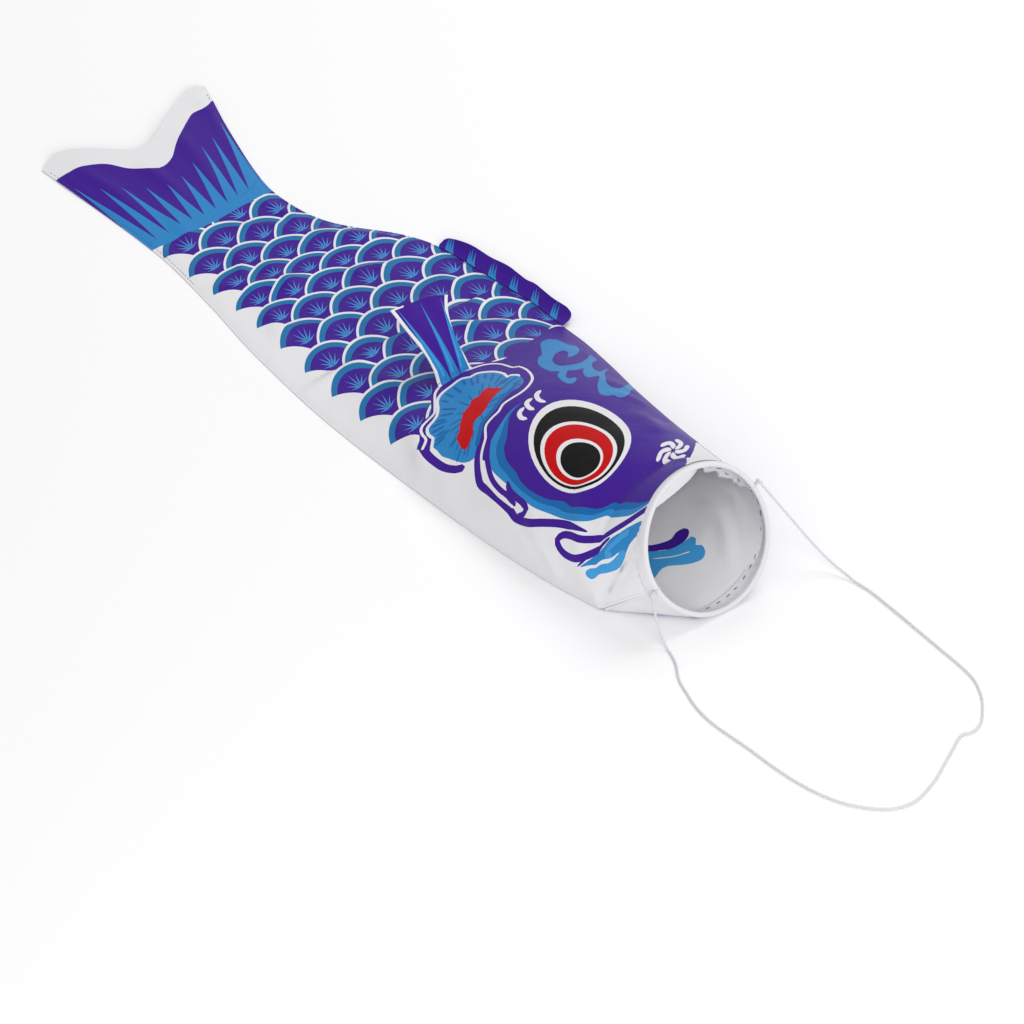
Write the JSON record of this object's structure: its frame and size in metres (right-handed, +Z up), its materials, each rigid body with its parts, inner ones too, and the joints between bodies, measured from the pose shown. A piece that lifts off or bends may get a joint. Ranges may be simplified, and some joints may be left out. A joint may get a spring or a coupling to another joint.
{
  "type": "carp streamer",
  "caption": "Carp-shaped cloth windsock with a wire-hooped mouth, sewn-on fins, forked tail and a cord bridle, lying on its side.",
  "frame": {"origin": "on the floor under the middle of the fish, its bridle cord left out", "axes": "+X towards the mouth, +Y towards the back edge with the dorsal fin, +Z up out of the fish's right side"},
  "size_m": [0.9645, 0.2338, 0.103],
  "materials": {
    "printed_cloth": "printed satin polyester",
    "hem_cloth": "white satin polyester, folded and stitched",
    "fin_cloth": "printed satin polyester, two layers",
    "hoop_wire": "drawn spring wire",
    "sleeve_plastic": "moulded tube",
    "dark_thread": "sewing thread",
    "white_thread": "sewing thread",
    "cord": "soft flat braid"
  },
  "bodies": {
    "body_front": {"right_panel_front": "printed_cloth", "left_panel_front": "printed_cloth", "belly_thread_front": "white_thread", "back_thread_front": "white_thread", "right_fin_stitches": "dark_thread", "left_fin_stitches": "dark_thread"},
    "body_rear": {"right_panel_rear": "printed_cloth", "left_panel_rear": "printed_cloth", "belly_thread_rear": "white_thread", "back_thread_rear": "white_thread"},
    "tail": {"right_tail": "printed_cloth", "left_tail": "printed_cloth", "belly_thread_tail": "white_thread", "back_thread_tail": "white_thread"},
    "mouth": {"mouth_hem": "hem_cloth", "mouth_hoop": "hoop_wire", "hoop_sleeve": "sleeve_plastic", "hem_stitches": "dark_thread", "belly_tie_knot": "cord", "back_tie_knot": "cord"},
    "bridle": {"bridle_cord": "cord"},
    "dorsal_fin": {"dorsal_fin": "fin_cloth"},
    "right_pectoral_fin": {"right_pectoral_fin": "fin_cloth"},
    "left_pectoral_fin": {"left_pectoral_fin": "fin_cloth"}
  },
  "joints": [
    {"name": "body_bend", "type": "hinge", "parent": "body_front", "child": "body_rear", "pos_m": [-0.1198, 0, 0.003], "axis": [0, 1, 0], "range_deg": [-60, 90]},
    {"name": "tail_bend", "type": "hinge", "parent": "body_rear", "child": "tail", "pos_m": [-0.2348, 0, 0.0015], "axis": [0, 1, 0], "range_deg": [-60, 90]},
    {"name": "hoop_tilt", "type": "hinge", "parent": "body_front", "child": "mouth", "pos_m": [0.3547, -0.0299, 0], "axis": [0, 1, 0], "range_deg": [0, 15]},
    {"name": "bridle_swing", "type": "hinge", "parent": "mouth", "child": "bridle", "pos_m": [0.3249, 0.0252, 0.0706], "axis": [0.1321, -0.9435, -0.3039], "range_deg": [0, 120]},
    {"name": "right_fin_flap", "type": "hinge", "parent": "body_front", "child": "right_pectoral_fin", "pos_m": [0.0522, -0.0264, 0.0304], "axis": [0, 1, 0], "range_deg": [-45, 105]},
    {"name": "left_fin_flap", "type": "hinge", "parent": "body_front", "child": "left_pectoral_fin", "pos_m": [0.0392, -0.0156, 0.0006], "axis": [0, 1, 0], "range_deg": [-120, 0]},
    {"name": "dorsal_fin_flap", "type": "hinge", "parent": "body_front", "child": "dorsal_fin", "pos_m": [-0.0978, 0.0884, 0.0008], "axis": [0.9968, 0.0804, 0], "range_deg": [-40, 80]}
  ]
}
